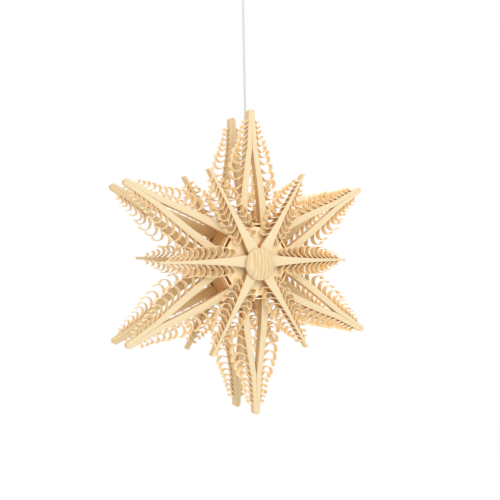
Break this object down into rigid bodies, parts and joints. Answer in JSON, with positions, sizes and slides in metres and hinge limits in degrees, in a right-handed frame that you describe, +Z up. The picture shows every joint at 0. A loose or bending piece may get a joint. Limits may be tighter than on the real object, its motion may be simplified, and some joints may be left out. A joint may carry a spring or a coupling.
{
  "type": "hanging wooden star ornament",
  "caption": "Hanging star of wooden sticks with curled shavings left on their edges, glued round a six-sided block between turned buttons, on a plain cord.",
  "frame": {"origin": "middle of the hub block, which is the centre of the star", "axes": "+Z up through the top ray, -Y the front, +X to the right seen from the front"},
  "size_m": [0.3208, 0.102, 0.5475],
  "materials": {
    "ray_wood": "matte",
    "spoke_wood": "matte",
    "crosspiece_wood": "matte",
    "hub_wood": "matte",
    "button_wood": "satin",
    "cord": "matte"
  },
  "bodies": {
    "root": {"hub_block": "hub_wood", "front_ray_upper_right_stick_a": "ray_wood", "front_ray_upper_right_stick_b": "ray_wood", "front_ray_upper_right_crosspiece": "crosspiece_wood", "front_ray_top_stick_a": "ray_wood", "front_ray_top_stick_b": "ray_wood", "front_ray_top_crosspiece": "crosspiece_wood", "front_ray_upper_left_stick_a": "ray_wood", "front_ray_upper_left_stick_b": "ray_wood", "front_ray_upper_left_crosspiece": "crosspiece_wood", "front_ray_lower_left_stick_a": "ray_wood", "front_ray_lower_left_stick_b": "ray_wood", "front_ray_lower_left_crosspiece": "crosspiece_wood", "front_ray_bottom_stick_a": "ray_wood", "front_ray_bottom_stick_b": "ray_wood", "front_ray_bottom_crosspiece": "crosspiece_wood", "front_ray_lower_right_stick_a": "ray_wood", "front_ray_lower_right_stick_b": "ray_wood", "front_ray_lower_right_crosspiece": "crosspiece_wood", "front_spoke_right": "spoke_wood", "front_spoke_upper_right": "spoke_wood", "front_spoke_upper_left": "spoke_wood", "front_spoke_left": "spoke_wood", "front_spoke_lower_left": "spoke_wood", "front_spoke_lower_right": "spoke_wood", "front_button": "button_wood", "rear_ray_upper_right_stick_a": "ray_wood", "rear_ray_upper_right_stick_b": "ray_wood", "rear_ray_upper_right_crosspiece": "crosspiece_wood", "rear_ray_top_stick_a": "ray_wood", "rear_ray_top_stick_b": "ray_wood", "rear_ray_top_crosspiece": "crosspiece_wood", "rear_ray_upper_left_stick_a": "ray_wood", "rear_ray_upper_left_stick_b": "ray_wood", "rear_ray_upper_left_crosspiece": "crosspiece_wood", "rear_ray_lower_left_stick_a": "ray_wood", "rear_ray_lower_left_stick_b": "ray_wood", "rear_ray_lower_left_crosspiece": "crosspiece_wood", "rear_ray_bottom_stick_a": "ray_wood", "rear_ray_bottom_stick_b": "ray_wood", "rear_ray_bottom_crosspiece": "crosspiece_wood", "rear_ray_lower_right_stick_a": "ray_wood", "rear_ray_lower_right_stick_b": "ray_wood", "rear_ray_lower_right_crosspiece": "crosspiece_wood", "rear_spoke_right": "spoke_wood", "rear_spoke_upper_right": "spoke_wood", "rear_spoke_upper_left": "spoke_wood", "rear_spoke_left": "spoke_wood", "rear_spoke_lower_left": "spoke_wood", "rear_spoke_lower_right": "spoke_wood", "rear_button": "button_wood", "cord": "cord", "cord_knot": "cord"}
  },
  "joints": []
}
